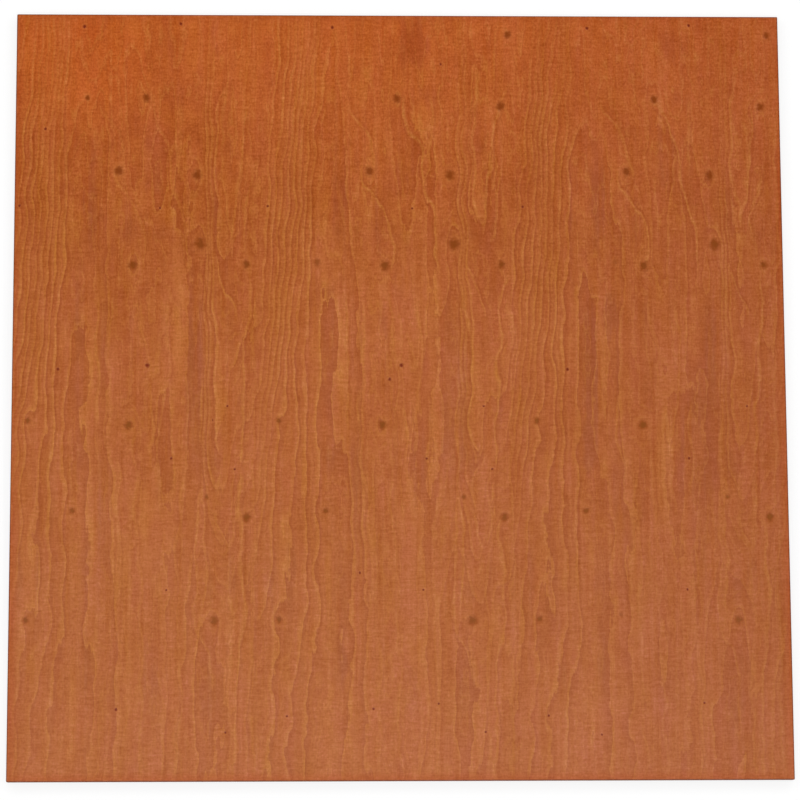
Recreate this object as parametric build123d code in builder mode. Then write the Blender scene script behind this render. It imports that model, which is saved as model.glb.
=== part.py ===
from build123d import *
import os

# Plywood sheet: one square sheet of softwood plywood, glued up, sawn to size and lying on its back face.
# X runs across the face grain, Y along it and Z up from the back face. Sizes are in millimetres.

# Driving dimensions
sheet_width = 1220.0     # across the face grain
sheet_length = 1220.0    # along the face grain
sheet_thickness = 18.0   # from the back to the face
corner_radius = 1.5      # the four upright corners, blunted by the saw and handling
arris_radius = 0.8       # the eased edges all round the face and the back

# The sheet: its sawn outline raised to full thickness, with every sharp edge eased
with BuildPart() as plywood_sheet:
    with BuildSketch(Plane.XY) as sawn_outline:
        Rectangle(sheet_width, sheet_length)
        fillet(sawn_outline.vertices(), radius=corner_radius)
    extrude(amount=sheet_thickness)
    flat_faces = plywood_sheet.faces().filter_by(Axis.Z)
    fillet(flat_faces.edges(), radius=arris_radius)

plywood_sheet.part.label = "plywood_sheet"

os.makedirs("parts", exist_ok=True)
export_step(plywood_sheet.part, "parts/plywood_sheet.step")
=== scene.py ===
import math

import bpy
import numpy as np
from mathutils import Matrix, Vector


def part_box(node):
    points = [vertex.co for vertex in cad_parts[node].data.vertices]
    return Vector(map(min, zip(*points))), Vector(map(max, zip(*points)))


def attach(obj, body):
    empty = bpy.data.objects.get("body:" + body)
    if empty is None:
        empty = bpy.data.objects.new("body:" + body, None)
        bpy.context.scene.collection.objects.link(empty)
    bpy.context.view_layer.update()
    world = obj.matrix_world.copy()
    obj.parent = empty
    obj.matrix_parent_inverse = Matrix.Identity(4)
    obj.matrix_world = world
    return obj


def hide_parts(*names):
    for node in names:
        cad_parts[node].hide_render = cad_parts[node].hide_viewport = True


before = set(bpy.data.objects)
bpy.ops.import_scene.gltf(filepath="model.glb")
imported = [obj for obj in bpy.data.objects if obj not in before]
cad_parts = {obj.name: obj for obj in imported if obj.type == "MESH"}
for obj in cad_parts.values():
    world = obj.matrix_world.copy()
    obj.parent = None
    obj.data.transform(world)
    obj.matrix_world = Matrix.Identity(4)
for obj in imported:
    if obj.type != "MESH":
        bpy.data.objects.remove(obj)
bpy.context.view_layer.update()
sheetLow, sheetHigh = (np.array(corner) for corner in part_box("plywood_sheet"))
sheetSize = sheetHigh - sheetLow
print("frame loaded, sheet of", np.round(sheetSize * 1000, 1), "mm")


# sRGB hex to linear RGBA, each channel through the sRGB transfer curve
def linearColour(hexColour):
    channels = np.array([int(hexColour[i:i + 2], 16) for i in (1, 3, 5)]) / 255
    linear = np.where(channels <= 0.04045, channels / 12.92, ((channels + 0.055) / 1.055) ** 2.4)
    return (*linear.tolist(), 1.0)


# plain values, hex colours and the sockets to link from into the inputs of a node
def fillInputs(tree, node, inputs):
    for key, value in inputs.items():
        if isinstance(value, bpy.types.NodeSocket):
            tree.links.new(value, node.inputs[key])
        else:
            node.inputs[key].default_value = linearColour(value) if isinstance(value, str) else value


# one node with its settings and its inputs, in order or keyed; out is the output that is handed back,
# or None for the whole node
def addNode(tree, kind, *inputs, keyed=None, out=0, ramp=None, **settings):
    node = tree.nodes.new("ShaderNode" + kind)
    for name, value in settings.items():
        setattr(node, name, value)
    fillInputs(tree, node, {**dict(enumerate(inputs)), **(keyed or {})})
    if ramp:
        stops = node.color_ramp.elements
        stops[0].position, stops[-1].position = ramp[0][0], ramp[-1][0]
        for position, hexColour in ramp[1:-1]:
            stops.new(position)
        for stop, (position, hexColour) in zip(stops, ramp):
            stop.color = linearColour(hexColour)
    return node if out is None else node.outputs[out]


# noise from 0 to 1 in spots of a given size each way
def addNoise(tree, place, size, detail=2.0):
    inSpots = addNode(tree, "VectorMath", place, [1 / length for length in size], operation="MULTIPLY")
    return addNode(tree, "TexNoise", keyed={"Vector": inSpots, "Scale": 1.0, "Detail": detail}, out="Fac")


# a new material, its nodes, its shader, and the place on the object, whole and along each axis
def newMaterial(name):
    material = bpy.data.materials.new(name)
    material.use_nodes = True
    tree = material.node_tree
    place = addNode(tree, "TexCoord", out="Object")
    axes = addNode(tree, "SeparateXYZ", place, out=None).outputs
    return material, tree, tree.nodes["Principled BSDF"], place, axes


# The face veneer was peeled from a log, so its figure comes round again at every turn of the log.
# A place on the log is (mm round it, mm down from the sheet's far end).
log = {
    "radius": 61.5,          # mm, where the sheet's left edge was peeled
    "peel": 2.0,             # mm taken off at each turn, the veneer's thickness
    "turn": 393.0,           # mm round the log, the unit of the places below
    "turns": 3,              # turns of the log in one sheet
    "ringsPerTurn": 5,       # rings that the figure climbs by in one turn
    "alongSquash": 9.0,      # the figure is this much longer along the grain than across it
    "ringWander": 0.10,      # rings, slow drift that keeps the turns from being copies
    "closeRings": (35, 290, 46, 290, 1.0),   # where the rings lie close: a soft patch, as listed below
    "turnDrift": 0.35,       # rings, how far the close rings have moved on when the knife comes round again
    "figure": 0.8,           # rings, wavy figure where the knife ran nearly along the rings
    "knotSway": (0.7, 13.0, 30.0),   # share, mm across, mm along: how the rings part round a branch
    "knotEye": (0.8, 11.0, 24.0),    # rings, mm across, mm along: how a branch lifts the rings into loops
    "snake": ((3.2, 75, 90, 14), (1.3, 42, 50, 15)),   # mm by which lines snake, mm across and along, seed
    "clearness": ((350, 600), (0.45, 0.60)),   # mm down, and how clearly the rings show there
    "leastClear": 0.05,
    "farFade": ((0, 300), (0.70, 1.0)),        # mm down, and the share of rings and seams that shows there
    "clearWander": 0.35,     # how unevenly the rings show
    "patchWander": (3, 12),  # mm across and along, how ragged the patches of stain are
    "patchUneven": 0.4,      # how unlike each other the patches are from turn to turn
    "paintedShadeDown": ((0, 600, 1220), (-0.008, -0.034, -0.030)),   # mm down, and the lightness added there: painted shade, darker from the far end down
    "wanders": {             # mm across and along in one wave, and a seed
        "rings": (130, 420, 3), "figure": (44, 900, 12), "clearness": (60, 260, 5),
        "patchAcross": (25, 60, 7), "patchDown": (20, 80, 8), "patchTone": (300, 300, 9),
    },
}

# growth rings as lines of places, with the ring that begins there; a part ring lies between two lines
ringLines = [
    (1, [(30, 10), (26, 100), (16, 200), (9, 320), (0, 430)]),
    (2, [(42, 10), (37, 100), (27, 200), (19, 330), (10, 450), (0, 550)]),
    (3, [(52, 10), (47, 100), (37, 200), (30, 330), (22, 440), (10, 560), (-2, 650)]),
    (4, [(62, 10), (57, 100), (46, 200), (40, 330), (32, 440), (20, 560), (6, 660), (-8, 760)]),
    (5, [(70, 10), (66, 100), (55, 200), (49, 330), (41, 440), (29, 560), (14, 680), (2, 780), (-16, 850)]),
    (6, [(78, 10), (74, 100), (64, 200), (58, 330), (50, 440), (41, 560), (38, 640), (24, 710), (18, 800),
         (9, 920), (-4, 1060), (-20, 1130)]),
    (7, [(87, 10), (84, 110), (74, 210), (68, 330), (62, 450), (55, 570), (56, 680), (47, 730), (43, 850),
         (37, 905), (47, 970), (28, 1005), (19, 1050), (15, 1210)]),
    (8, [(131, 225), (115, 200), (97, 201), (84, 222), (81, 300), (80, 380), (71, 490), (66, 600),
         (69, 680), (64, 745), (68, 810), (64, 900), (68, 965), (61, 1012), (47, 1080), (42, 1210)]),
    (8, [(134, 270), (142, 350), (150, 450), (153, 580), (160, 760), (157, 870), (160, 1000), (158, 1210)]),
    (8, [(207, 300), (203, 240), (206, 190), (222, 172), (245, 235), (242, 262), (256, 304), (267, 350)]),
    (8, [(274, 640), (273, 540), (274, 460), (286, 435), (303, 420), (304, 520), (303, 620), (300, 690)]),
    (8, [(226, 730), (227, 665), (239, 641), (251, 660), (252, 760)]),
    (9, [(126, 1210), (133, 1080), (122, 985), (132, 890), (127, 770), (110, 655), (115, 600), (117, 490),
         (103, 457), (91, 485), (89, 580), (86, 680), (88, 780), (83, 880), (88, 980), (78, 1040),
         (66, 1130), (65, 1210)]),
    (7, [(307, 20), (306, 130), (303, 300), (309, 430), (309, 560), (308, 690)]),
    (6, [(314, 20), (313, 130), (311, 300), (315, 420), (319, 500), (320, 560), (318, 660)]),
    (5, [(333, 90), (321, 170), (320, 270), (328, 335), (340, 405), (350, 462), (359, 440), (361, 330),
         (366, 220), (370, 110), (372, 10)]),
    (10, [(294, 1210), (294, 1100), (297, 1040), (307, 1010), (319, 1012), (327, 1040), (330, 1085),
          (324, 1125), (319, 1210)]),
    (7.5, [(190, 480), (200, 600), (200, 900), (205, 1200), (180, 130), (230, 900)]),
    (7.4, [(170, 20), (120, 100), (190, 350), (240, 420), (285, 200), (280, 60)]),
    (8.6, [(105, 300), (288, 550), (225, 235)]),
    (8.7, [(104, 424)]),
    (9.3, [(104, 540), (118, 900)]),
    (9.85, [(103, 900), (102, 1120)]),
    (10.3, [(312, 1120)]),
]

# seams where the knife ran out of one ring into another: strength, 1 where the dark side is on the right
# or -1, drift in mm at each turn, and the places that the seam runs through from the far end down
seams = [
    (1.0, 1, -5, [(366, 165), (362, 190), (356, 235), (350, 285), (346, 325), (341, 356)]),
    (0.8, -1, -3, [(331, 108), (326, 150), (323, 200), (323, 245), (327, 285), (333, 330), (340, 356)]),
    (0.9, 1, -4, [(318, 400), (324, 428), (333, 450), (341, 465), (349, 477)]),
    (0.8, 1, -5, [(372, 270), (366, 300), (362, 330), (359, 355)]),
    (1.0, 1, -5, [(373, 440), (370, 480), (368, 520), (365, 560), (363, 600), (360, 645), (358, 690),
                  (357, 740), (356, 800)]),
    (0.9, -1, -1, [(300, 400), (306, 440), (310, 480), (318, 520), (319, 560), (318, 600), (317, 645),
                   (318, 675), (325, 700), (332, 718)]),
    (0.8, -1, 0, [(334, 722), (326, 735), (319, 755)]),
    (0.9, 1, 0, [(304, 760), (304, 780), (307, 815), (309, 860), (308, 905), (305, 945)]),
    (1.0, 1, 0, [(366, 825), (364, 855), (364, 885), (367, 915), (370, 945), (369, 970), (366, 1000),
                 (361, 1022), (357, 1045), (355, 1085), (356, 1130), (354, 1215)]),
    (0.8, -1, 0, [(297, 600), (297, 660), (298, 740), (294, 810), (292, 870), (290, 930), (288, 970),
                  (291, 990), (299, 1004), (311, 1018), (313, 1034), (317, 1060)]),
    (0.8, 1, 0, [(325, 815), (332, 838), (341, 850)]),
    (0.7, 1, 0, [(352, 740), (347, 775), (350, 805), (354, 822), (352, 842), (343, 852)]),
    (1.0, -1, -3, [(217, 148), (222, 170), (229, 195), (241, 212), (246, 232), (244, 256), (248, 284),
                   (256, 305), (263, 320), (266, 350), (267, 385), (272, 408)]),
    (0.7, 1, 0, [(263, 150), (264, 195), (262, 245)]),
    (0.9, 1, -6, [(158, 272), (166, 284), (176, 296), (187, 311), (196, 328), (201, 350), (204, 375),
                  (202, 398)]),
    (0.7, 1, -3, [(138, 158), (151, 172), (162, 190), (169, 210), (173, 232), (174, 252)]),
    (0.8, 1, -3, [(135, 470), (136, 520), (137, 565), (135, 610), (131, 650)]),
    (0.7, -1, -2, [(154, 480), (152, 525), (151, 570), (149, 615), (144, 655), (147, 690), (153, 725),
                   (158, 765), (163, 805), (166, 850), (167, 900), (163, 945)]),
    (0.7, 1, 2, [(175, 730), (172, 780), (174, 830), (178, 880), (176, 930)]),
    (0.9, 1, 0, [(220, 648), (225, 664), (226, 690), (222, 712)]),
    (0.7, -1, 0, [(253, 640), (254, 680), (252, 715), (255, 760)]),
    (0.6, 1, -2, [(240, 480), (246, 540), (243, 600), (236, 660), (230, 720), (234, 790)]),
    (0.6, -1, -3, [(196, 470), (203, 530), (208, 590), (203, 640)]),
    (0.6, 1, 1, [(196, 690), (201, 740), (199, 800), (205, 850), (212, 910), (208, 970), (214, 1040),
                 (210, 1120), (213, 1215)]),
    (0.6, -1, -1, [(268, 760), (262, 820), (258, 880), (263, 940), (260, 1010), (267, 1080), (264, 1150),
                   (267, 1215)]),
    (0.5, 1, 2, [(176, 985), (181, 1040), (178, 1100), (183, 1160), (181, 1215)]),
    (0.5, -1, 0, [(238, 850), (233, 910), (238, 970), (235, 1040), (241, 1110), (238, 1200)]),
    (0.6, 1, 0, [(383, 470), (386, 540), (382, 600), (385, 680), (379, 760), (384, 850), (380, 930),
                 (386, 1010), (379, 1090), (383, 1200)]),
    (0.6, -1, -2, [(340, 890), (337, 930), (346, 975), (341, 1020), (337, 1075), (342, 1140), (338, 1215)]),
]

# soft patches: mm round, mm down, half width, half height, change; stain is red below nothing and ochre above
ringClearness = [
    (48, 330, 62, 420, 0.38), (50, 950, 64, 340, 0.55), (106, 560, 50, 180, 0.4), (135, 300, 16, 100, 0.2),
    (130, 1000, 50, 260, 0.25), (312, 420, 26, 380, 0.3), (246, 260, 26, 110, 0.3),
    (312, 1110, 30, 120, 0.3),
    (345, 800, 70, 120, -0.2), (370, 900, 40, 330, -0.15),
]
stainPatches = [
    (104, 545, 12, 105, -0.9), (105, 712, 10, 28, -0.7), (121, 285, 13, 85, -0.7), (226, 235, 20, 62, -0.7),
    (250, 130, 20, 20, -0.6), (234, 45, 16, 36, -1.0), (257, 52, 6, 20, -0.7), (240, 720, 11, 75, -0.6),
    (286, 610, 12, 150, -0.8), (309, 610, 9, 80, -0.5), (316, 722, 16, 26, -0.8), (312, 1085, 17, 75, -0.7),
    (121, 1040, 9, 52, -0.7), (119, 900, 10, 50, -0.5), (314, 270, 5, 55, -0.7), (320, 325, 7, 40, -0.6),
    (46, 885, 8, 50, -0.5), (345, 900, 9, 30, -0.5), (225, 1080, 15, 32, -0.5), (362, 620, 5, 65, -0.5),
    (16, 905, 5, 50, -0.6), (62, 1050, 5, 25, -0.5), (80, 300, 3, 70, -0.5), (188, 500, 7, 25, -0.5),
    (144, 545, 8, 72, -0.7), (146, 800, 10, 120, -0.5), (340, 200, 11, 90, -0.4), (181, 335, 10, 40, -0.4),
    (98, 330, 11, 45, 0.7), (124, 560, 7, 85, 0.8), (250, 172, 24, 18, 0.6), (263, 520, 9, 85, 0.7),
    (328, 600, 9, 80, 0.8), (334, 305, 7, 48, 0.8), (30, 895, 6, 48, 0.8), (102, 895, 6, 50, 0.6),
    (102, 1125, 6, 80, 0.6), (167, 860, 7, 70, 0.6), (134, 1050, 4, 70, 0.7), (262, 1110, 9, 110, 0.5),
    (140, 140, 12, 18, 0.6), (240, 328, 14, 13, 0.6), (264, 680, 10, 38, 0.5), (212, 815, 10, 20, 0.5),
    (223, 680, 5, 30, 0.6), (41, 725, 5, 18, 0.6), (18, 770, 6, 28, 0.6), (36, 1055, 9, 25, 0.6),
    (338, 1060, 6, 36, 0.6), (50, 420, 4, 32, 0.6), (80, 530, 5, 28, 0.6), (131, 840, 4, 40, 0.5),
    (347, 973, 10, 30, 0.8), (312, 925, 16, 14, -0.5),
]

# marks that don't come round again: mm across the sheet, mm down, half width, half height, change;
# of red or ochre, of how clearly rings and seams show, of drips (orange below nothing) and of lightness
once = 5000   # mm to the next of such marks, far off the sheet
stainMarks = [
    (635, 48, 20, 32, -1.6), (1041, 46, 11, 18, -0.9), (914, 590, 10, 120, -1.6), (945, 488, 11, 28, -3.0),
    (294, 598, 9, 128, -0.5), (706, 598, 10, 128, -0.6), (221, 1044, 16, 48, -0.6),
    (927, 319, 11, 56, -0.6),
    (1095, 558, 20, 88, -0.5), (214, 793, 12, 36, 1.4), (318, 38, 3, 36, -1.0),
    (1022, 730, 18, 95, 0.9), (1075, 640, 14, 60, -0.9), (908, 694, 9, 30, -1.0),
    (1080, 760, 22, 140, -0.7),
    (990, 765, 13, 60, -0.5), (184, 1000, 9, 210, 0.8), (352, 1090, 7, 110, 0.7),
]
clearMarks = [(25, 1080, 60, 220, -0.45), (560, 190, 60, 90, -0.15), (101, 540, 45, 130, -0.35)]
seamMarks = [(240, 240, 150, 180, -0.45)]
deepMarks = [
    (228, 40, 22, 28, 0.15), (630, 42, 21, 36, 1.2), (1042, 48, 12, 20, 0.6), (95, 70, 110, 105, -0.35),
]
washes = [
    (190, 285, 340, 130, -0.040), (620, 250, 230, 90, -0.012), (230, 560, 220, 75, 0.022),
    (620, 530, 240, 100, 0.045), (1010, 530, 230, 85, 0.035), (1010, 1160, 300, 80, 0.035),
    (380, 1150, 420, 100, 0.015),
]

# branches: mm round, mm down, radius in mm, darkness (2 for a dead pin knot), turns on which the knife met it
branches = [
    (209, 137, 5.4, 1.0, (0, 1, 2)), (115, 137, 3.6, 1.0, (0,)), (368, 149, 5.6, 1.0, (1, 2)),
    (380, 31, 5.0, 1.0, (1, 2)), (166, 256, 6.0, 1.0, (0, 1, 2)), (290, 262, 6.7, 1.0, (0, 1, 2)),
    (296, 374, 8.3, 1.0, (0, 1, 2)), (85, 404, 5.5, 0.75, (1,)), (147, 402, 4.0, 0.4, (2,)),
    (190, 409, 7.0, 1.0, (0, 1, 2)), (368, 407, 5.5, 1.0, (0, 1, 2)), (26, 657, 4.8, 0.9, (0, 1, 2)),
    (185, 664, 6.8, 0.95, (0, 1, 2)),
    (98, 800, 4.4, 0.9, (0, 1, 2)), (369, 810, 6.7, 0.92, (0, 1, 2)), (27, 970, 5.2, 0.9, (0, 1, 2)),
    (320, 972, 7.2, 0.85, (0, 1, 2)), (308, 778, 3.8, 0.8, (0, 1, 2)), (148, 963, 3.5, 0.6, (2,)),
    (214, 569, 2.9, 2.0, (0, 1)), (73, 575, 2.2, 2.0, (0, 2)), (196, 591, 2.4, 2.0, (1,)),
    (252, 717, 1.7, 2.0, (0, 1, 2)), (339, 634, 1.6, 2.0, (0, 1, 2)), (317, 656, 1.5, 2.0, (0,)),
    (351, 734, 1.6, 2.0, (0, 1)), (150, 897, 1.7, 2.0, (1,)), (246, 924, 1.5, 2.0, (0, 1, 2)),
    (39, 1120, 1.5, 2.0, (1, 2)), (170, 1109, 1.9, 2.0, (0, 1)), (268, 1101, 1.5, 2.0, (1, 2)),
    (338, 1145, 1.6, 2.0, (0, 1)), (48, 188, 2.0, 2.0, (0,)), (8, 313, 1.8, 2.0, (0, 1, 2)),
    (109, 20, 2.2, 2.0, (0, 1, 2)), (263, 15, 2.2, 2.0, (0, 2)), (277, 80, 1.7, 2.0, (1,)),
    (232, 316, 1.6, 2.0, (0, 1)), (117, 1150, 1.4, 2.0, (2,)),
]
farAway = 99.0   # mm, stands for no seam or branch near


# mm round the log from mm across the sheet: the knife's spiral has radius sqrt(r0^2 + peel * length / pi)
def roundLog(acrossMm):
    radius = np.sqrt(log["radius"] ** 2 + log["peel"] * acrossMm / np.pi)
    return (radius - log["radius"]) / log["peel"] * log["turn"]


# mm across the sheet from mm round the log, the spiral read backwards
def acrossSheet(roundMm):
    radius = log["radius"] + log["peel"] * roundMm / log["turn"]
    return (radius ** 2 - log["radius"] ** 2) * np.pi / log["peel"]


# slow wander mostly from -1 to 1: a sum of seeded plane waves about one wavelength long each way, scaled down
def slowWander(across, along, acrossLength, alongLength, seed, waveCount=9, scale=4):
    rng = np.random.default_rng(seed)
    total = np.zeros(np.broadcast(across, along).shape)
    for angle, phase in zip(rng.uniform(0, 2 * np.pi, waveCount), rng.uniform(0, 2 * np.pi, waveCount)):
        waves = np.cos(angle) * across / acrossLength + np.sin(angle) * along / alongLength
        total += np.cos(2 * np.pi * waves + phase)
    return total / scale


# ring number over the veneer: a thin-plate spline, sum of weight * d^2 * log d with d in units of some mm,
# through the ring lines of every turn; a little slack keeps it smooth where lines crowd
def ringField(roundMm, downMm, unit=40, slack=0.004, blockCount=24):
    points = np.array([(place[0], place[1], ring) for ring, line in ringLines for place in line], float)
    oneTurn = np.array([log["turn"], 0, log["ringsPerTurn"]])
    points = np.concatenate([points + turn * oneTurn for turn in range(-1, log["turns"] + 1)])
    squash = np.array([1, 1 / log["alongSquash"]]) / unit
    knots = points[:, :2] * squash

    # d^2 * log d from every place to every knot, as half of d^2 * log d^2
    def kernel(places):
        squared = ((places[:, None] - knots) ** 2).sum(-1)
        return 0.5 * squared * np.log(squared + 1e-12)

    plane = np.c_[np.ones(len(knots)), knots]
    system = np.block([[kernel(knots) + slack * np.eye(len(knots)), plane], [plane.T, np.zeros((3, 3))]])
    weights = np.linalg.solve(system, np.r_[points[:, 2], 0, 0, 0])
    values = []
    for block in np.array_split(np.c_[roundMm.ravel(), downMm.ravel()] * squash, blockCount):
        values.append(kernel(block) @ weights[:-3] + np.c_[np.ones(len(block)), block] @ weights[-3:])
    return np.concatenate(values).reshape(roundMm.shape)


# the nearest seam: mm to its dark side, mm away from it and its strength, which fades past its ends;
# a seam's line is read every few mm and smoothed by a hump of weights
def nearestSeam(roundMm, downMm, fadeLength=25, overrun=40, step=4.0):
    side, gap, strength = np.zeros(roundMm.shape), np.full(roundMm.shape, farAway), np.zeros(roundMm.shape)
    hump = np.hanning(11)[1:-1] / 5
    for seamStrength, darkSide, drift, line in seams:
        places = np.array(line, float)
        steps = np.arange(places[0, 1] - overrun, places[-1, 1] + overrun + 1, step)
        middles = np.interp(steps, places[:, 1], places[:, 0])
        middles = np.convolve(np.pad(middles, len(hump) // 2, "edge"), hump, "valid")
        inside = np.minimum(downMm - places[0, 1], places[-1, 1] - downMm)
        fade = seamStrength * np.clip(1 + inside / fadeLength, 0, 1)
        for turn in range(log["turns"]):
            off = roundMm - np.interp(downMm, steps, middles) - turn * log["turn"] - drift * (turn - 1)
            nearer = (np.abs(off) < gap) & (fade > 0)
            side = np.where(nearer, darkSide * off, side)
            strength = np.where(nearer, fade, strength)
            gap = np.where(nearer, np.abs(off), gap)
    return side, gap, strength


# sum of flat-topped bumps change * exp(-(u^2 + v^2)^2), repeated over and over across the veneer
def softPatches(patches, roundMm, downMm, repeat=log["turn"]):
    total = np.zeros(roundMm.shape)
    for middle, down, halfWidth, halfHeight, change in patches:
        u = ((roundMm - middle + repeat / 2) % repeat - repeat / 2) / halfWidth
        v = (downMm - down) / halfHeight
        total += change * np.exp(-(u * u + v * v) ** 2)
    return total


sheet = {
    "columns": 460,          # face cells across the grain
    "crowding": (0.9, 48, 45),   # share by which columns lie closer where rings do, mm round, half width
    "rows": 122,             # face cells along the grain
    "backColumns": 40, "backRows": 20,
    "backInset": 0.030,      # m, width of the band that joins the back's coarse grid to the edges
    "cornerRadius": 0.0015, "cornerSteps": 4,
    "arris": 0.0008, "arrisSteps": 4,
    "faceVeneer": 0.0020,    # m, outer plies
    "corePly": 0.0028, "corePlies": 5,   # m, the plies between them
    "glueGroove": 0.00012, "glueHalf": 0.00030,   # m, depth and half width of a glue line in the sawn edge
    "raisedGrain": 0.00010,  # m, late wood stands proud of early wood
    "flatRim": 0.004,        # m, over which the raised grain dies away at the edges
    "knotLength": 1.12,      # knots are this much longer along the grain than across it
}

# Face grid: columns crowd where the ring lines are tight, rows are even
corner = sheet["cornerRadius"]
faceLow, faceHigh = sheetLow[:2] + corner, sheetHigh[:2] - corner
fineAcross = np.linspace(faceLow[0], faceHigh[0], 4000)
fineRound = roundLog((fineAcross - sheetLow[0]) * 1000) % log["turn"]
closer, middle, halfWidth = sheet["crowding"]
crowding = np.cumsum(1 + closer * np.exp(-((fineRound - middle) / halfWidth) ** 4))
crowding = (crowding - crowding[0]) / (crowding[-1] - crowding[0])
columnX = np.interp(np.linspace(0, 1, sheet["columns"] + 1), crowding, fineAcross)
rowY = np.linspace(faceLow[1], faceHigh[1], sheet["rows"] + 1)
faceX, faceY = np.meshgrid(columnX, rowY)

acrossMm = (faceX - sheetLow[0]) * 1000
downMm = (sheetHigh[1] - faceY) * 1000
roundMm = roundLog(acrossMm)
branchRows = np.array([(middle + turn * log["turn"], down, radius, dark)
                       for middle, down, radius, dark, turns in branches for turn in turns])
branchX, branchY = acrossSheet(branchRows[:, 0]), branchRows[:, 1]
fromBranchX, fromBranchY = acrossMm[..., None] - branchX, downMm[..., None] - branchY
branchPush = np.clip(branchRows[:, 2] / 6 - 0.4, 0, 1)   # nothing up to a radius of 2.4 mm, all from 8.4 mm
swayShare, swayAcross, swayAlong = log["knotSway"]
sway = fromBranchX * np.exp(-(fromBranchX / swayAcross) ** 2 - (fromBranchY / swayAlong) ** 2)
snaking = roundMm - swayShare * (sway * branchPush).sum(-1)
wander = {name: slowWander(acrossMm, downMm, *lengths) for name, lengths in log["wanders"].items()}
for amount, acrossLength, alongLength, seed in log["snake"]:
    snaking = snaking + amount * slowWander(acrossMm, downMm, acrossLength, alongLength, seed)
ringPhase = ringField(snaking, downMm)
seamSide, seamGap, seamStrength = nearestSeam(snaking, downMm)
turnNumber = np.round((roundMm - log["closeRings"][0]) / log["turn"]) - 1
ringPhase += log["turnDrift"] * turnNumber * softPatches([log["closeRings"]], roundMm, downMm)
liftRings, liftAcross, liftAlong = log["knotEye"]
lift = np.exp(-(fromBranchX / liftAcross) ** 2 - (fromBranchY / liftAlong) ** 2)
ringPhase += liftRings * (lift * branchPush).sum(-1) + log["ringWander"] * wander["rings"]

# how clearly rings and seams show, and the stain with its ragged patches
farFade = np.interp(downMm, *log["farFade"])
clearness = np.interp(downMm, *log["clearness"]) + softPatches(ringClearness, roundMm, downMm)
clearness = farFade * (clearness + softPatches(clearMarks, acrossMm, downMm, once))
clearness = np.clip(clearness, log["leastClear"], 1)
seamStrength *= farFade * (1 + softPatches(seamMarks, acrossMm, downMm, once))
ringPhase += log["figure"] * (1 - clearness) * wander["figure"]
clearness = np.clip(clearness * (1 + log["clearWander"] * wander["clearness"]), log["leastClear"], 1)
patchShift = log["patchWander"][0] * wander["patchAcross"]
patchRound, patchAcross = roundMm + patchShift, acrossMm + patchShift
patchDown = downMm + log["patchWander"][1] * wander["patchDown"]
stainTone = softPatches(stainPatches, patchRound, patchDown) * (1 + log["patchUneven"] * wander["patchTone"])
stainTone += softPatches(stainMarks, patchAcross, patchDown, once)
stainDeep = softPatches(deepMarks, patchAcross, patchDown, once)
# the lightness patches, plus painted shade that darkens the face from the far end down
washesAndPaintedShade = softPatches(washes, patchAcross, patchDown, once) + np.interp(downMm, *log["paintedShadeDown"])
print("ring figure from", len(ringLines), "lines, rings", np.round([ringPhase.min(), ringPhase.max()], 1))

# nearest branch of each grid point: offset in branch radii, distance in mm, darkness; none where a second
# branch is nearly as near, so that the corners of a cell agree on one
tooEven = 20   # mm
branchDistance = np.hypot(fromBranchX, fromBranchY)
nearest = branchDistance.argmin(-1)
twoNearest = np.partition(branchDistance, 1, axis=-1)
branchGap = np.where(twoNearest[..., 1] - twoNearest[..., 0] > tooEven, twoNearest[..., 0], farAway)
branchOffset = np.stack([acrossMm - branchX[nearest], (branchY[nearest] - downMm) / sheet["knotLength"],
                         0 * acrossMm], -1)
branchOffset /= branchRows[nearest, 2][..., None]
branchDark = branchRows[nearest, 3]

# the face sinks a little between the proud late-wood lines
ringPart = ringPhase - np.floor(ringPhase)
slopeDown, slopeAcross = np.gradient(ringPhase, -1000 * rowY, 1000 * columnX)
ringWidth = np.clip(1 / np.hypot(slopeDown, slopeAcross), 4, 70)   # mm
sunk = sheet["raisedGrain"] * (1 - ringPart ** 3 * clearness)
fromRim = np.minimum(faceHigh[0] - abs(faceX), faceHigh[1] - abs(faceY))
faceZ = sheetHigh[2] - sunk * np.clip(fromRim / sheet["flatRim"], 0, 1)

# Walls: a profile of (outward offset, height) from face to back, carried round the outline
plyJoints = sheetLow[2] + sheet["faceVeneer"] + sheet["corePly"] * np.arange(sheet["corePlies"] + 1)[::-1]
jointHeights = (plyJoints[:, None] + sheet["glueHalf"] * np.array([1, 0, -1])).ravel()
jointOffsets = np.tile([corner, corner - sheet["glueGroove"], corner], len(plyJoints))
arrisTurn = np.linspace(0, np.pi / 2, sheet["arrisSteps"] + 1)
arrisOut = corner - sheet["arris"] * (1 - np.sin(arrisTurn))
arrisDrop = sheet["arris"] * (1 - np.cos(arrisTurn))
profileOut = np.r_[arrisOut, jointOffsets, arrisOut[::-1]]
profileZ = np.r_[sheetHigh[2] - arrisDrop, jointHeights, sheetLow[2] + arrisDrop[::-1]]
profileSteps = np.diff(np.r_[0, profileOut, 0]), np.diff(np.r_[profileZ[0], profileZ, 0])
profileRun = np.r_[0, np.cumsum(np.hypot(*profileSteps))]

# outline columns, anticlockwise from the near left corner: each side's points, then the turn of its corner
nx, ny = sheet["columns"], sheet["rows"]
gridIndex = np.arange((nx + 1) * (ny + 1)).reshape(ny + 1, nx + 1)
boundary = np.r_[gridIndex[0, :-1], gridIndex[:-1, -1], gridIndex[-1, :0:-1], gridIndex[:0:-1, 0]]
sideCounts = np.array([nx, ny, nx, ny])
sideStarts = np.r_[0, np.cumsum(sideCounts)]
fan = sheet["cornerSteps"]
columnPlace = np.concatenate([np.r_[np.arange(sideStarts[s], sideStarts[s + 1] + 1),
                                    np.full(fan - 1, sideStarts[s + 1])] for s in range(4)]) % len(boundary)
columnSide = np.repeat(np.arange(4), sideCounts + fan)
columnAngle = np.concatenate([np.r_[np.zeros(n + 1), np.arange(1, fan) / fan] for n in sideCounts])
cornerRun = 0.004   # share of an edge's strip of the map that the turn of a corner takes
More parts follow.
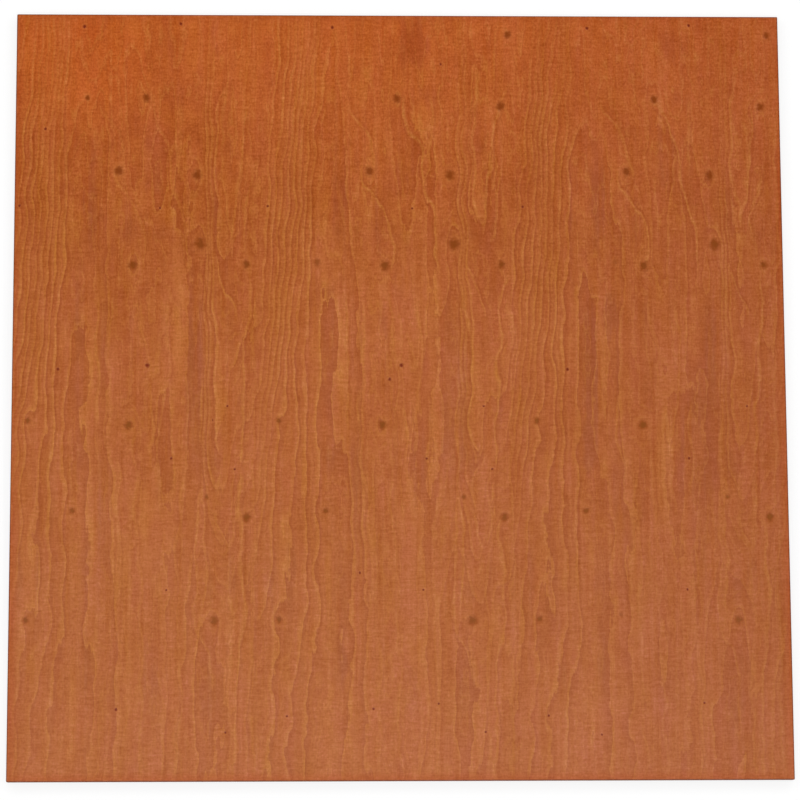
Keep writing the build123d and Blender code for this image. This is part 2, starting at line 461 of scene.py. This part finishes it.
columnRun = np.concatenate([np.r_[np.linspace(cornerRun, 1 - cornerRun, n + 1),
                                  1 - cornerRun + cornerRun * np.arange(1, fan) / fan] for n in sideCounts])
wallAngle = (columnSide - 1 + columnAngle) * np.pi / 2
columnNormal = np.c_[np.cos(wallAngle), np.sin(wallAngle)]
endGrainSide = np.abs(np.sin(wallAngle))

facePoints = np.c_[faceX.ravel(), faceY.ravel(), faceZ.ravel()]
rimPoints = facePoints[boundary[columnPlace], :2]
wallXY = rimPoints[None] + profileOut[:, None, None] * columnNormal[None]
wallPoints = np.concatenate([wallXY, np.broadcast_to(profileZ[:, None, None], wallXY.shape[:2] + (1,))], -1)
backRim = np.c_[facePoints[boundary, :2], np.full(len(boundary), sheetLow[2])]
backLow, backHigh = faceLow + sheet["backInset"], faceHigh - sheet["backInset"]
backX = np.linspace(backLow[0], backHigh[0], sheet["backColumns"] + 1)
backY = np.linspace(backLow[1], backHigh[1], sheet["backRows"] + 1)
backGridX, backGridY = np.meshgrid(backX, backY)
backPoints = np.c_[backGridX.ravel(), backGridY.ravel(), np.full(backGridX.size, sheetLow[2])]
points = np.concatenate([facePoints, wallPoints.reshape(-1, 3), backRim, backPoints])

# faces as corner numbers with their own map places; a row of a grid joins to the next one
wallCount, wallRows = len(columnPlace), len(profileOut)
wallStart = len(facePoints)
wallIndex = wallStart + np.arange(wallRows * wallCount).reshape(wallRows, wallCount)
rimStart = wallStart + wallIndex.size
wallIndex = np.concatenate([boundary[columnPlace][None], wallIndex, (rimStart + columnPlace)[None]])
backStart = rimStart + len(boundary)
backIndex = backStart + np.arange(backGridX.size).reshape(backGridX.shape)


# four-cornered cells between the rows of an index grid, anticlockwise
def gridCells(index):
    return np.stack([index[:-1, :-1], index[:-1, 1:], index[1:, 1:], index[1:, :-1]], -1).reshape(-1, 4)


faceCells = gridCells(gridIndex)
closedWall = np.c_[wallIndex, wallIndex[:, 0]]
wallCells = gridCells(closedWall[::-1])
backCells = gridCells(backIndex)[:, ::-1]

# the band round the back: every rim step takes the nearest inner point, every inner step a rim point
bx, by = sheet["backColumns"], sheet["backRows"]
innerRing = np.r_[backIndex[0, :-1], backIndex[:-1, -1], backIndex[-1, :0:-1], backIndex[:0:-1, 0]]
innerCounts = np.array([bx, by, bx, by])
innerStarts = np.r_[0, np.cumsum(innerCounts)]
rimToInner = np.concatenate([start + np.floor((np.arange(n) + 0.5) / n * count + 0.5).astype(int)
                             for start, count, n in zip(innerStarts, innerCounts, sideCounts)])
rimStep = np.arange(len(boundary))
nextRim = (rimStep + 1) % len(boundary)
outerTris = np.stack([rimStart + nextRim, rimStart + rimStep, innerRing[rimToInner % len(innerRing)]], -1)
jumps = rimStep[np.diff(np.r_[0, rimToInner]) > 0]
innerTris = np.stack([rimStart + jumps, innerRing[(rimToInner[jumps] - 1) % len(innerRing)],
                      innerRing[rimToInner[jumps] % len(innerRing)]], -1)

# map places: the face on top, then the back, then the four edges as strips
mapLow, mapWidth = 0.002, 0.996
planar = (points[:, :2] - sheetLow[:2]) / sheetSize[:2]
faceMap = np.array([mapLow, 0.308]) + planar * np.array([mapWidth, 0.690])
backMap = np.array([mapLow, 0.104]) + planar * np.array([mapWidth, 0.196])
stripLow, stripStep, stripHeight = 0.004, 0.025, 0.018
cellSide = np.tile(columnSide, wallRows + 1)
nextRun = np.where(np.roll(columnSide, -1) == columnSide, np.roll(columnRun, -1), 1.0)
runPair = np.tile(np.stack([columnRun, nextRun, nextRun, columnRun], -1), (wallRows + 1, 1))
dropLevels = (1 - profileRun / profileRun[-1])[::-1]
dropPair = np.stack([dropLevels[:-1], dropLevels[:-1], dropLevels[1:], dropLevels[1:]], -1)
dropPair = dropPair.repeat(wallCount, 0)
wallMap = np.stack([mapLow + mapWidth * runPair,
                    stripLow + stripStep * cellSide[:, None] + stripHeight * dropPair], -1)

# each eased edge takes the veneer it borders; where two corners of a cell meet, a triangle is left
faceKind, edgeKind, backKind = 0, 1, 2
arrisRows = sheet["arrisSteps"] + 1
rowKinds = [backKind] * arrisRows + [edgeKind] * (wallRows + 1 - 2 * arrisRows) + [faceKind] * arrisRows
wallKind = np.repeat(rowKinds, wallCount)
bottomMeets = wallCells[:, 0] == wallCells[:, 1]
topMeets = wallCells[:, 2] == wallCells[:, 3]
wholeWall = ~(bottomMeets | topMeets)
bottomTris, topTris = wallCells[bottomMeets][:, [0, 2, 3]], wallCells[topMeets][:, [0, 1, 2]]

cellGroups = [
    (faceCells, faceMap[faceCells], faceKind),
    (wallCells[wholeWall], wallMap[wholeWall], wallKind[wholeWall]),
    (bottomTris, wallMap[bottomMeets][:, [0, 2, 3]], backKind),
    (topTris, wallMap[topMeets][:, [0, 1, 2]], faceKind),
    (backCells, backMap[backCells], backKind),
    (outerTris, backMap[outerTris], backKind),
    (innerTris, backMap[innerTris], backKind),
]
sheetMesh = bpy.data.meshes.new("grained_sheet")
sheetMesh.from_pydata(points.tolist(), [],
                      [cell for cells, places, kind in cellGroups for cell in cells.tolist()])
bakeMap = sheetMesh.uv_layers.new(name="OFBake")
bakeMap.uv.foreach_set("vector", np.concatenate([places.ravel() for cells, places, kind in cellGroups]))
kinds = np.concatenate([np.broadcast_to(kind, len(cells)) for cells, places, kind in cellGroups])
sheetMesh.polygons.foreach_set("material_index", kinds.astype(np.int32))
sheetMesh.polygons.foreach_set("use_smooth", np.ones(len(kinds), bool))

# what the materials read: each point of a wall or of the back rim takes the face's value above it
faceSource = np.r_[gridIndex.ravel(), np.tile(boundary[columnPlace], wallRows), boundary,
                   np.zeros(backGridX.size, int)]
scalars = {"ringPhase": ringPhase, "ringWidth": ringWidth, "ringClearness": clearness, "stainTone": stainTone,
           "stainDeep": stainDeep, "washesAndPaintedShade": washesAndPaintedShade, "seamSide": seamSide, "seamGap": seamGap,
           "seamStrength": seamStrength, "branchGap": branchGap, "branchDark": branchDark}
for name, values in scalars.items():
    layer = sheetMesh.attributes.new(name, "FLOAT", "POINT")
    layer.data.foreach_set("value", values.ravel()[faceSource].astype(np.float32))
layer = sheetMesh.attributes.new("branchOffset", "FLOAT_VECTOR", "POINT")
layer.data.foreach_set("vector", branchOffset.reshape(-1, 3)[faceSource].ravel().astype(np.float32))
sideFlag = np.zeros(len(points), np.float32)
sideFlag[wallStart:rimStart] = np.tile(endGrainSide, wallRows)
layer = sheetMesh.attributes.new("endSide", "FLOAT", "POINT")
layer.data.foreach_set("value", sideFlag)
sheetMesh.update()
sheetMesh.validate()
grainedSheet = bpy.data.objects.new("grained_sheet", sheetMesh)
bpy.context.scene.collection.objects.link(grainedSheet)
triangles = sum(len(cells) * (cells.shape[1] - 2) for cells, places, kind in cellGroups)
print("sheet surface", len(points), "points,", triangles, "triangles")


# Stained softwood face veneer, satin varnished: red-brown early wood that fades to ochre late wood,
# fine fibre streaks along Y, dark olive knots with a pale collar, a soft sheen over low raised grain.
# A range in this dictionary is from, to, and what it gives at each end.
veneerLook = {
    "ringColours": [(0.0, "#A65324"), (0.3, "#AE5928"), (0.7, "#B25E2C"), (1.0, "#B96831")],
    "plain": "#B15C2A",       # where the rings don't show
    "lateLine": "#C37938", "earlyLine": "#9E4B1A",   # lines where one ring ends and the next begins
    "lineWidth": (7.2, 5.4),  # mm
    "lineSoft": 2.0,          # mm, how far the change from one line to the other is smeared
    "lineAtEdge": 0.3,        # share of a ring's line that is left right at that change
    "lineStrengths": (0.76, 0.2888, 0.40),    # where rings end, half way, and in thirds of the widest rings
    "wideRing": (20.0, 40.0, 0.0, 1.0),       # range of mm in which the thirds come in
    "broken": (0.35, 0.65, 0.65, 1.1),        # range of the dapple that breaks the lines up
    "nearSeam": (12.0, 8.0, 0.0, 1.0),        # range of mm round a seam in which its lines are drawn
    "ragged": {"fibre": 0.12, "wave": 0.8, "scallop": 0.3},   # rings, how far the grains push a line about
    "seamWave": {"wave": 14.0, "scallop": 8.0},               # mm, how far they push a seam about
    "darkStain": "#9C4D2A", "ochreStain": "#BC6D2E", "deepStain": "#A44714", "orange": "#C45814",
    "farEnd": "#C45814",      # the stain is richer towards the far end
    "nearEnd": "#BB774D",     # painted sheen: paler and pinker towards the near end
    "rightSide": "#9A4C2C",   # the colour goes darker and duller to the right
    "edgeStain": "#AE5020",   # the stain is richer along the sawn edges
    "rim": "#6E3416",         # painted shade: a dark line on the arris
    "reach": {                # ranges of the patches, and of m along, across and outwards from the middle
        "darkStain": (0.0, -1.0, 0.0, 0.7), "ochreStain": (0.0, 1.0, 0.0, 0.7),
        "orange": (0.0, -1.0, 0.0, 1.0), "farEnd": (0.25, 0.62, 0.0, 0.50),
        "nearEnd": (0.30, -0.30, 0.0, 0.30), "rightSide": (0.0, 0.61, 0.0, 0.28),
        "edgeStain": (0.592, 0.610, 0.0, 0.5), "rim": (0.6078, 0.6094, 0.0, 0.8),
    },
    "streaked": ((0.3, 1.3), (0.3, 0.9)),     # how far streaks break up the patches and the drips
    "knot": [(0.0, "#82440C"), (0.5, "#86430E"), (0.8, "#8E440E"), (1.0, "#984A14")],
    "farKnot": "#843800",     # knots towards the far end, where the stain is richer
    "farKnotReach": (0.08, 0.38, 0.0, 1.0),   # range of m along the grain from the middle
    "pin": "#741E04",
    "collar": "#C67A42",
    "heartReach": (1.60, 0.4, 0.0, 0.93), "collarReach": (2.8, 1.5, 0.0, 0.09),   # ranges of knot radii
    "nearKnot": (24.0, 18.0, 0.0, 1.0),       # range of mm round a knot in which it is drawn
    "knotWarp": (0.005, 1.3),                 # m, the size of a knot's dents, and their depth in knot radii
    "grains": {               # m wide, m long, lightness; real fibres are finer, drawn so that they show
        "fibre": (0.0014, 0.032, 0.12), "fleck": (0.0020, 0.005, 0.26), "speckle": (0.0036, 0.0040, 0.34),
        "streak": (0.006, 0.24, 0.18), "mottle": (0.05, 0.13, 0.16), "wave": (0.022, 0.110, 0.0),
        "dapple": (0.009, 0.024, 0.0), "cloud": (0.028, 0.060, 0.0), "hue": (0.020, 0.090, 0.0),
        "scallop": (0.010, 0.022, 0.0), "tick": (0.012, 0.0024, 0.40),
    },
    "mottling": (1.6, 0.12),  # how far stain goes to red or ochre in dapple and cloud, and their lightness
    "calm": (0.40, 0.05, 1.0, 0.5),           # range of m along the grain in which the mottling calms
    "farRough": (0.05, 0.45, 0.0, 0.16),      # range of m along the grain in which specks come in
    "hue": ((0.99, 1.01), (1.015, 0.985), (0.88, 1.12)),   # red, green and blue where olive and where pink
    "deepening": (1.7, 4.0),  # dark grain holds more stain: powers of the lightness in green and in blue
    "roughness": (0.28, 0.36),
    "shine": 0.3,             # specular level: a thin satin coat, partly sunk into the wood
    "grainRelief": 0.00012, "knotSink": 0.00025,   # m
    "fibreRelief": 0.6,       # height of the fibres, taking the late-wood lines as one
}
varnishIor = 1.5
noiseRange = (0.3, 0.7)   # most of a noise's values lie between these
veneer, tree, shader, place, (across, along, up) = newMaterial("stained softwood face veneer")
grains = {name: addNoise(tree, place, (width, length, width))
          for name, (width, length, lightness) in veneerLook["grains"].items()}
onSheet = {name: addNode(tree, "Attribute", out="Fac", attribute_name=name) for name in scalars}
branchPlace = addNode(tree, "Attribute", out="Vector", attribute_name="branchOffset")

# ring colours: the part of a ring, its line waved and roughened by the grain
ragged = onSheet["ringPhase"]
for name, rings in veneerLook["ragged"].items():
    ragged = addNode(tree, "Math", grains[name], rings, ragged, operation="MULTIPLY_ADD")
ragged = addNode(tree, "Math", ragged, sum(veneerLook["ragged"].values()) / 2, operation="SUBTRACT")
partOfRing = addNode(tree, "Math", ragged, operation="FRACT")
ringColour = addNode(tree, "ValToRGB", partOfRing, out="Color", ramp=veneerLook["ringColours"])
wood = addNode(tree, "Mix", onSheet["ringClearness"],
               keyed={6: veneerLook["plain"], 7: ringColour}, out=2, data_type="RGBA")
broken = addNode(tree, "MapRange", grains["dapple"], *veneerLook["broken"])
clear = addNode(tree, "Math", broken, onSheet["ringClearness"], operation="MULTIPLY")
wide = addNode(tree, "MapRange", onSheet["ringWidth"], *veneerLook["wideRing"])
wide = addNode(tree, "Math", wide, broken, operation="MULTIPLY")


# a light line on one side of an edge and a dark one on the other, fading away from it, over the lines so far
def drawLines(tree, lines, gaps, strength, atEdge, shown):
    for side, gap in enumerate(gaps):
        line = addNode(tree, "MapRange", gap, veneerLook["lineWidth"][side], 0.0, 0.0, strength,
                       interpolation_type="SMOOTHERSTEP")
        soft = addNode(tree, "MapRange", gap, 0.0, veneerLook["lineSoft"], atEdge, 1.0)
        for share in (soft, shown):
            line = addNode(tree, "Math", line, share, operation="MULTIPLY")
        lines[side] = addNode(tree, "Math", line, lines[side], operation="MAXIMUM")


# lines: light before the end of a ring and dark after it, then the same at its halves and thirds
lines = [0.0, 0.0]
for parts, strength, shown in zip((1, 2, 3), veneerLook["lineStrengths"], (clear, clear, wide)):
    width = addNode(tree, "Math", onSheet["ringWidth"], 1 / parts, operation="MULTIPLY")
    after = addNode(tree, "Math", ragged, parts, operation="MULTIPLY")
    after = addNode(tree, "Math", after, operation="FRACT")
    before = addNode(tree, "Math", 1.0, after, operation="SUBTRACT")
    gaps = [addNode(tree, "Math", part, width, operation="MULTIPLY") for part in (before, after)]
    drawLines(tree, lines, gaps, strength, veneerLook["lineAtEdge"], shown)

# seams: the same pair of lines along the listed seams, light on one side and dark on the other
seam = addNode(tree, "MapRange", onSheet["seamGap"], *veneerLook["nearSeam"])
for share in (onSheet["seamStrength"], broken):
    seam = addNode(tree, "Math", seam, share, operation="MULTIPLY")
uneven = onSheet["seamSide"]
for name, amount in veneerLook["seamWave"].items():
    uneven = addNode(tree, "Math", grains[name], amount, uneven, operation="MULTIPLY_ADD")
uneven = addNode(tree, "Math", uneven, sum(veneerLook["seamWave"].values()) / 2, operation="SUBTRACT")
gaps = [addNode(tree, "Math", uneven, towards, operation="MULTIPLY") for towards in (-1.0, 1.0)]
drawLines(tree, lines, gaps, 1.0, 0.0, seam)

# stain: red and ochre patches broken by streaks and mottled, most at the far end, then the drips and edges,
# with a painted sheen paler at the near end and painted shade on the arris
patchy, deeper = (addNode(tree, "MapRange", grains["streak"], *noiseRange, *streaked)
                  for streaked in veneerLook["streaked"])
patchy = addNode(tree, "Math", onSheet["stainTone"], patchy, operation="MULTIPLY")
deeper = addNode(tree, "Math", onSheet["stainDeep"], deeper, operation="MULTIPLY")
calm = addNode(tree, "MapRange", along, *veneerLook["calm"])
mottled = addNode(tree, "Math", grains["dapple"], grains["cloud"])
mottled = addNode(tree, "Math", mottled, 1.0, operation="SUBTRACT")
mottled = addNode(tree, "Math", mottled, calm, operation="MULTIPLY")
patchy = addNode(tree, "Math", mottled, veneerLook["mottling"][0], patchy, operation="MULTIPLY_ADD")
fromMiddle = addNode(tree, "VectorMath", place, operation="ABSOLUTE")
outwards = addNode(tree, "SeparateXYZ", fromMiddle, out=None).outputs
outwards = addNode(tree, "Math", outwards[0], outwards[1], operation="MAXIMUM")
measures = {"darkStain": patchy, "ochreStain": patchy, "orange": onSheet["stainDeep"], "farEnd": along,
            "nearEnd": along, "rightSide": across, "edgeStain": outwards, "rim": outwards}
shares = {"lateLine": lines[0], "earlyLine": lines[1], "deepStain": deeper}
for name, measure in measures.items():
    shares[name] = addNode(tree, "MapRange", measure, *veneerLook["reach"][name],
                           interpolation_type="SMOOTHSTEP" if name == "edgeStain" else "LINEAR")
# among these, the paler near end is a painted sheen and the dark arris line is painted shade
for name in ("darkStain", "ochreStain", "farEnd", "orange", "lateLine", "earlyLine", "nearEnd", "deepStain",
             "rightSide", "edgeStain", "rim"):
    wood = addNode(tree, "Mix", shares[name], keyed={6: wood, 7: veneerLook[name]}, out=2, data_type="RGBA")

# lightness: one plus each grain's share, which is nothing at the noise's middle value
# the lightness starts from the washes and from the painted shade down the sheet
tone = addNode(tree, "Math", onSheet["washesAndPaintedShade"],
               1 - 0.5 * sum(grain[2] for grain in veneerLook["grains"].values()))
for name, (width, length, lightness) in veneerLook["grains"].items():
    tone = addNode(tree, "Math", grains[name], lightness, tone, operation="MULTIPLY_ADD")
tone = addNode(tree, "Math", mottled, veneerLook["mottling"][1], tone, operation="MULTIPLY_ADD")
rough = addNode(tree, "MapRange", along, *veneerLook["farRough"])
specks = addNode(tree, "Math", grains["fleck"], grains["speckle"])
specks = addNode(tree, "Math", specks, 1.0, operation="SUBTRACT")
tone = addNode(tree, "Math", specks, rough, tone, operation="MULTIPLY_ADD")
channels = []
for power, (olive, pink) in zip((1.0, *veneerLook["deepening"]), veneerLook["hue"]):
    hue = addNode(tree, "MapRange", grains["hue"], *noiseRange, olive, pink)
    channel = addNode(tree, "Math", tone, power, operation="POWER")
    channels.append(addNode(tree, "Math", channel, hue, operation="MULTIPLY"))
deepened = addNode(tree, "CombineXYZ", *channels)
wood = addNode(tree, "VectorMath", wood, deepened, operation="MULTIPLY")

# knots: a dented dark heart about one radius wide with a faint pale collar round it
dentSize, dent = veneerLook["knotWarp"]
knotWarp = addNode(tree, "TexNoise", keyed={"Vector": place, "Scale": 1 / dentSize, "Detail": 2.0},
                   out="Color")
knotWarp = addNode(tree, "VectorMath", knotWarp, (dent, dent, 0), (-dent / 2, -dent / 2, 0),
                   operation="MULTIPLY_ADD")
knotPlace = addNode(tree, "VectorMath", branchPlace, knotWarp)
knotRadius = addNode(tree, "VectorMath", knotPlace, out="Value", operation="LENGTH")
nearKnot = addNode(tree, "MapRange", onSheet["branchGap"], *veneerLook["nearKnot"])
heart, collar = (addNode(tree, "MapRange", knotRadius, *veneerLook[name], interpolation_type="SMOOTHSTEP")
                 for name in ("heartReach", "collarReach"))
heart, collar = (addNode(tree, "Math", part, nearKnot, operation="MULTIPLY") for part in (heart, collar))
dark = addNode(tree, "Math", onSheet["branchDark"], 1.0, operation="MINIMUM")
heart = addNode(tree, "Math", heart, dark, operation="MULTIPLY")
isPin = addNode(tree, "Math", onSheet["branchDark"], 1.5, operation="GREATER_THAN")
farKnot = addNode(tree, "MapRange", along, *veneerLook["farKnotReach"])
knotColour = addNode(tree, "ValToRGB", knotRadius, out="Color", ramp=veneerLook["knot"])
for share, name in ((farKnot, "farKnot"), (isPin, "pin")):
    knotColour = addNode(tree, "Mix", share, keyed={6: knotColour, 7: veneerLook[name]},
                         out=2, data_type="RGBA")
for share, colour in ((collar, veneerLook["collar"]), (heart, knotColour)):
    wood = addNode(tree, "Mix", share, keyed={6: wood, 7: colour}, out=2, data_type="RGBA")

# satin varnish: proud late-wood lines, fibres and a slight unevenness in the gloss
gloss = addNode(tree, "MapRange", grains["streak"], *noiseRange, *veneerLook["roughness"])
relief = lines[0]
for name in ("fibre", "fleck"):
    relief = addNode(tree, "Math", grains[name], veneerLook["fibreRelief"], relief, operation="MULTIPLY_ADD")
bump = addNode(tree, "Bump", keyed={"Height": relief, "Distance": veneerLook["grainRelief"], "Strength": 1.0})
bump = addNode(tree, "Bump",
               keyed={"Height": heart, "Distance": veneerLook["knotSink"], "Strength": 1.0, "Normal": bump},
               invert=True)
fillInputs(tree, shader, {"Base Color": wood, "Roughness": gloss, "IOR": varnishIor,
                          "Specular IOR Level": veneerLook["shine"], "Normal": bump})

# Sawn and stained plywood edge: plies by turns long grain, light and streaked, and end grain, dark and pored,
# with thin dark glue lines between them and faint upright saw marks
edgeLook = {
    "longGrain": "#B36A3A",
    "endGrain": "#82471F",
    "glue": "#4A2814",
    "glueWidth": 0.09,         # part of a ply
    "glueStrength": 0.85,
    "patterns": {              # m along the edge and up it
        "longStreak": (0.03, 0.0004), "pores": (0.0008, 0.0006),
        "sawMark": (0.0016, 0.05),   # drawn coarse so that they show
    },
    "plyStep": 3.7,            # spots of a pattern that it moves on by from ply to ply
    "tones": (0.40, 0.9, 0.3),       # darkest, what the grain adds to it and what the saw marks add
    "roughness": 0.6,
    "relief": 0.00012,         # m
    "sawRelief": 0.6,          # height of the saw marks, taking the grain as one
}
edgeWood, tree, shader, place, (across, along, up) = newMaterial("sawn stained plywood edge")
endSide = addNode(tree, "Attribute", out="Fac", attribute_name="endSide")
run = addNode(tree, "Mix", endSide, keyed={2: along, 3: across}, data_type="FLOAT")
ply = addNode(tree, "Math", up, sheet["faceVeneer"], operation="SUBTRACT")
ply = addNode(tree, "Math", ply, sheet["corePly"], operation="DIVIDE")
plyNumber = addNode(tree, "Math", ply, operation="FLOOR")
crossPly = addNode(tree, "Math", plyNumber, 2.0, operation="FLOORED_MODULO")
crossPly = addNode(tree, "Math", 1.0, crossPly, operation="SUBTRACT")
endGrain = addNode(tree, "Math", crossPly, endSide, operation="SUBTRACT")
endGrain = addNode(tree, "Math", endGrain, operation="ABSOLUTE")
edgePlace = addNode(tree, "CombineXYZ", run, up, plyNumber)
patterns = {name: addNoise(tree, edgePlace, (length, rise, 1 / edgeLook["plyStep"]))
            for name, (length, rise) in edgeLook["patterns"].items()}
colour = addNode(tree, "Mix", endGrain, keyed={6: edgeLook["longGrain"], 7: edgeLook["endGrain"]},
                 out=2, data_type="RGBA")
grain = addNode(tree, "Mix", endGrain, keyed={2: patterns["longStreak"], 3: patterns["pores"]},
                data_type="FLOAT")
darkest, byGrain, bySaw = edgeLook["tones"]
tone = addNode(tree, "Math", grain, byGrain, darkest, operation="MULTIPLY_ADD")
tone = addNode(tree, "Math", patterns["sawMark"], bySaw, tone, operation="MULTIPLY_ADD")
colour = addNode(tree, "VectorMath", colour, keyed={"Scale": tone}, operation="SCALE")
inPly = addNode(tree, "Math", ply, operation="FRACT")
fromJoint = addNode(tree, "Math", inPly, 0.5, operation="SUBTRACT")
fromJoint = addNode(tree, "Math", fromJoint, operation="ABSOLUTE")
glueLine = addNode(tree, "MapRange", fromJoint, 0.5 - edgeLook["glueWidth"], 0.5 - edgeLook["glueWidth"] / 2,
                   0.0, edgeLook["glueStrength"])
colour = addNode(tree, "Mix", glueLine, keyed={6: colour, 7: edgeLook["glue"]}, out=2, data_type="RGBA")
relief = addNode(tree, "Math", patterns["sawMark"], edgeLook["sawRelief"], grain, operation="MULTIPLY_ADD")
bump = addNode(tree, "Bump", keyed={"Height": relief, "Distance": edgeLook["relief"], "Strength": 1.0})
fillInputs(tree, shader, {"Base Color": colour, "Roughness": edgeLook["roughness"], "IOR": varnishIor,
                          "Normal": bump})

# Softwood back veneer, a plainer grade with the same stain: wide wandering rings, fibre streaks, no varnish
backLook = {
    "ringColours": [(0.0, "#9A5230"), (0.06, "#A35A35"), (0.6, "#AE663C"), (1.0, "#B87346")],
    "ringWidth": 0.055,        # m
    "wander": (0.16, 0.9),     # m across and along, over which the rings drift
    "wanderRings": 9.0,        # rings, how far they drift
    "fibre": (0.0016, 0.045),  # m across and along
    "fibreRings": 0.15,        # rings, how far the fibres push a line about
    "tones": (0.75, 0.5),      # darkest, and what the fibres add to it
    "roughness": 0.55,
    "relief": 0.0001,          # m
}
backVeneer, tree, shader, place, (across, along, up) = newMaterial("stained softwood back veneer")
noises = {name: addNoise(tree, place, (*backLook[name], 1.0), detail)
          for name, detail in (("wander", 1.0), ("fibre", 3.0))}
ring = addNode(tree, "Math", across, backLook["ringWidth"], operation="DIVIDE")
for name, rings in (("wander", backLook["wanderRings"]), ("fibre", backLook["fibreRings"])):
    ring = addNode(tree, "Math", noises[name], rings, ring, operation="MULTIPLY_ADD")
ring = addNode(tree, "Math", ring, operation="FRACT")
colour = addNode(tree, "ValToRGB", ring, out="Color", ramp=backLook["ringColours"])
darkest, byFibre = backLook["tones"]
tone = addNode(tree, "Math", noises["fibre"], byFibre, darkest, operation="MULTIPLY_ADD")
colour = addNode(tree, "VectorMath", colour, keyed={"Scale": tone}, operation="SCALE")
bump = addNode(tree, "Bump", keyed={"Height": noises["fibre"], "Distance": backLook["relief"],
                                    "Strength": 1.0})
fillInputs(tree, shader, {"Base Color": colour, "Roughness": backLook["roughness"], "IOR": varnishIor,
                          "Normal": bump})

for material in (veneer, edgeWood, backVeneer):
    sheetMesh.materials.append(material)
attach(grainedSheet, "root")
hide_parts("plywood_sheet")
print("materials on the sheet:", [material.name for material in sheetMesh.materials])


# Studio: a wide pale floor, pale surroundings with a dark cap overhead leaning to the far end, one soft box
studio = {
    "floorHalf": 40.0,         # m
    "floorDrop": 0.0002,       # m, keeps the floor clear of the back
    "floorColour": "#828282",
    "floorGlow": 0.79,         # lifts the floor to white where it is seen, without lighting the sheet
    "horizon": 0.25, "band": 1.75, "cap": 0.02,   # levels of the surroundings
    "farShare": 0.85,          # how much brighter the far side is than the middle
    "bandRise": (0.40, 0.62),  # height on a unit sphere over which the horizon goes into the band
    "capLean": 5.0,            # degrees
    "capEdge": (0.76, 0.90),   # height along the leaning axis over which the band goes into the cap
    "softBoxes": [             # place, width, depth, radiance; each faces the sheet
        ("overhead", (0.0, -2.2, 6.6), 6.0, 3.0, 2.2),
    ],
}
half = studio["floorHalf"]
floorMesh = bpy.data.meshes.new("floor")
floorCorners = [(-half, -half, 0), (half, -half, 0), (half, half, 0), (-half, half, 0)]
floorMesh.from_pydata(floorCorners, [], [(0, 1, 2, 3)])
floor = bpy.data.objects.new("floor", floorMesh)
floor.location.z = -studio["floorDrop"]
bpy.context.scene.collection.objects.link(floor)
# matt grey paint that glows white to the camera and in reflections, so the sheet's shadow stays soft on white
floorPaint, tree, shader = newMaterial("pale studio floor")[:3]
rays = addNode(tree, "LightPath", out=None).outputs
seen = rays["Is Camera Ray"]
for name in ("Is Glossy Ray", "Is Transmission Ray"):
    seen = addNode(tree, "Math", seen, rays[name], operation="MAXIMUM")
glow = addNode(tree, "Math", seen, studio["floorGlow"], operation="MULTIPLY")
fillInputs(tree, shader, {"Base Color": studio["floorColour"], "Roughness": 0.9, "Specular IOR Level": 0.0,
                          "Emission Color": "#FFFFFF", "Emission Strength": glow})
floorMesh.materials.append(floorPaint)

surroundings = bpy.data.worlds.new("studio surroundings")
bpy.context.scene.world = surroundings
surroundings.use_nodes = True
tree = surroundings.node_tree
direction = addNode(tree, "TexCoord", out="Generated")
across, along, height = addNode(tree, "SeparateXYZ", direction, out=None).outputs
level = addNode(tree, "MapRange", height, *studio["bandRise"], studio["horizon"], studio["band"],
                interpolation_type="SMOOTHSTEP")
lean = math.radians(studio["capLean"])
leaning = addNode(tree, "VectorMath", direction, (0, math.sin(lean), math.cos(lean)), out="Value",
                  operation="DOT_PRODUCT")
capShare = addNode(tree, "MapRange", leaning, *studio["capEdge"], 0.0, 1.0, interpolation_type="SMOOTHSTEP")
level = addNode(tree, "Mix", capShare, keyed={2: level, 3: studio["cap"]}, data_type="FLOAT")
farther = addNode(tree, "Math", along, studio["farShare"], 1.0, operation="MULTIPLY_ADD")
level = addNode(tree, "Math", level, farther, operation="MULTIPLY")
fillInputs(tree, tree.nodes["Background"], {"Color": "#FFFFFF", "Strength": level})

for name, lampPlace, width, depth, radiance in studio["softBoxes"]:
    lampData = bpy.data.lights.new(name + " soft box", "AREA")
    lampData.shape = "RECTANGLE"
    lampData.size, lampData.size_y = width, depth
    lampData.energy = math.pi * width * depth * radiance
    lamp = bpy.data.objects.new(name + " soft box", lampData)
    lamp.location = lampPlace
    lamp.rotation_euler = (-Vector(lampPlace)).to_track_quat("-Z", "Y").to_euler()
    bpy.context.scene.collection.objects.link(lamp)

# Camera: nearly straight down, leaning a little towards the near edge
view = {
    "aim": (-0.00034, -0.01425, 0.018), "distance": 5.0,
    "tilt": 8.841, "turn": -1.660, "roll": -0.2465,   # degrees
    "lens": 142.92, "sensor": 36.0,                   # mm
}
leanX, leanY = math.sin(math.radians(view["turn"])), -math.sin(math.radians(view["tilt"]))
backward = Vector((leanX, leanY, math.sqrt(1 - leanX ** 2 - leanY ** 2)))
right = Vector((0, 1, 0)).cross(backward).normalized()
up = backward.cross(right)
roll = math.radians(view["roll"])
right, up = math.cos(roll) * right + math.sin(roll) * up, math.cos(roll) * up - math.sin(roll) * right
cameraData = bpy.data.cameras.new("camera")
cameraData.lens, cameraData.sensor_width = view["lens"], view["sensor"]
camera = bpy.data.objects.new("camera", cameraData)
eye = Vector(view["aim"]) + view["distance"] * backward
camera.matrix_world = Matrix.Translation(eye) @ Matrix((right, up, backward)).transposed().to_4x4()
bpy.context.scene.collection.objects.link(camera)
bpy.context.scene.camera = camera
bpy.context.scene.view_settings.view_transform = "Standard"
print("studio set, camera at", [round(value, 3) for value in eye])
